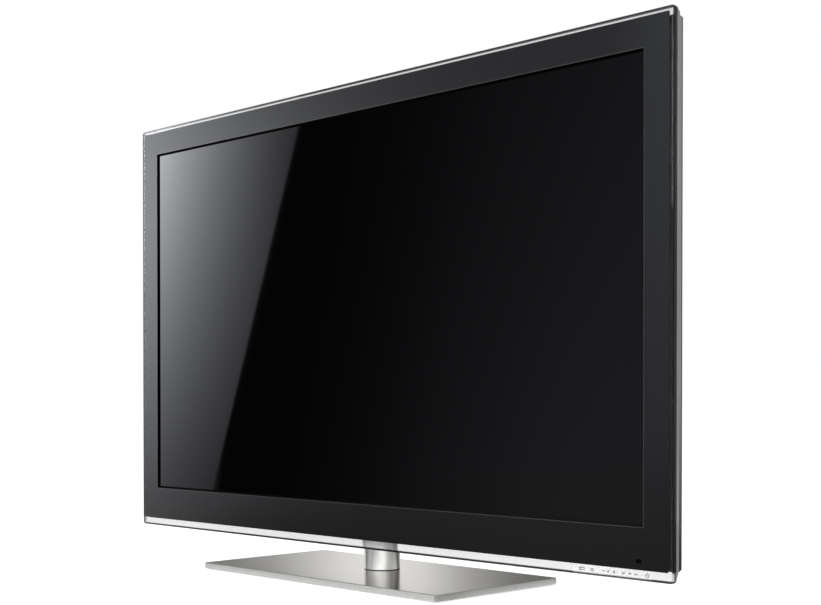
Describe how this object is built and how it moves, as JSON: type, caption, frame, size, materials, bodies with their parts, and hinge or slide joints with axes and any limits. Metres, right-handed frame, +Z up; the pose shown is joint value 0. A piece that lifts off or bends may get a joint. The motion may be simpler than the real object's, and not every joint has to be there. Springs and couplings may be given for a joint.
{
  "type": "flat screen television",
  "caption": "Flat widescreen television with a clear-edged dark frame on a neck that swivels over a flat rectangular metal stand.",
  "frame": {"origin": "centre of the stand's rectangular footprint, at table level", "axes": "+Z up, the screen faces -Y, +X to the right as seen from the front"},
  "size_m": [1.21, 0.27, 0.797],
  "materials": {
    "clear_acrylic": "clear cast acrylic, polished",
    "charcoal_bezel": "charcoal brushed film under gloss",
    "dark_window": "dark infrared window, gloss",
    "screen_glass": "black filter glass, polished",
    "black_foam": "soft black foam",
    "touch_film": "clear printed film",
    "green_board": "green solder mask",
    "zinc_steel": "zinc-plated steel",
    "panel_glass": "panel glass",
    "grey_sheet": "grey thermal sheet",
    "chassis_metal": "bare aluminium",
    "rear_cover": "black fine-textured paint",
    "black_screw": "black coated steel",
    "black_parts": "black moulded plastic",
    "amber_film": "amber flexible film",
    "jack_panel": "black painted sheet",
    "base_steel": "brushed steel, lacquered",
    "black_rubber": "black rubber",
    "white_washer": "white acetal",
    "cast_core": "die-cast metal",
    "polished_tube": "polished steel",
    "rear_plastic": "black fine-textured plastic"
  },
  "bodies": {
    "stand": {"base_plate": "base_steel", "base_tray": "black_parts", "base_feet": "black_rubber", "swivel_post": "zinc_steel", "bearing_plate": "zinc_steel", "bearing_screws": "zinc_steel", "thrust_washer": "white_washer", "spring_washers": "zinc_steel", "swivel_nut": "zinc_steel"},
    "set": {"address_boards": "green_board", "address_films": "amber_film", "aerial_socket": "zinc_steel", "bezel_frame": "charcoal_bezel", "board_standoffs": "zinc_steel", "bracket_screws": "black_screw", "buffer_boards": "green_board", "capacitors": "black_parts", "chassis_channels": "zinc_steel", "chassis_plate": "chassis_metal", "clear_frame": "clear_acrylic", "control_board": "green_board", "glide_ring": "black_parts", "hdmi_sockets": "zinc_steel", "heat_sinks": "chassis_metal", "lan_socket": "zinc_steel", "logic_board": "green_board", "lower_jack_panel": "jack_panel", "lower_vent_grilles": "rear_cover", "main_board": "green_board", "mains_filter": "green_board", "neck_core": "cast_core", "neck_head": "cast_core", "neck_hood": "rear_plastic", "neck_tube": "polished_tube", "panel_cushion": "black_foam", "panel_frame": "zinc_steel", "panel_front_glass": "panel_glass", "panel_rear_glass": "panel_glass", "phono_jacks": "black_parts", "power_inlet": "black_parts", "power_supply_board": "green_board", "rear_cover": "rear_cover", "rear_cover_screws": "black_screw", "receiver_window": "dark_window", "scan_board": "green_board", "screen_gasket": "black_foam", "screen_glass": "screen_glass", "speaker_boxes": "black_parts", "speaker_drivers": "black_parts", "stand_bracket": "zinc_steel", "sustain_board": "green_board", "thermal_sheet": "grey_sheet", "touch_film": "touch_film", "transformers": "black_parts", "upper_jack_panel": "jack_panel", "upper_vent_grilles": "rear_cover", "usb_sockets": "zinc_steel", "wall_mount_bushes": "zinc_steel"}
  },
  "joints": [
    {"name": "swivel", "type": "hinge", "parent": "stand", "child": "set", "pos_m": [0, 0.0206, 0.0112], "axis": [0, 0, 1], "range_deg": [-20, 20]}
  ]
}
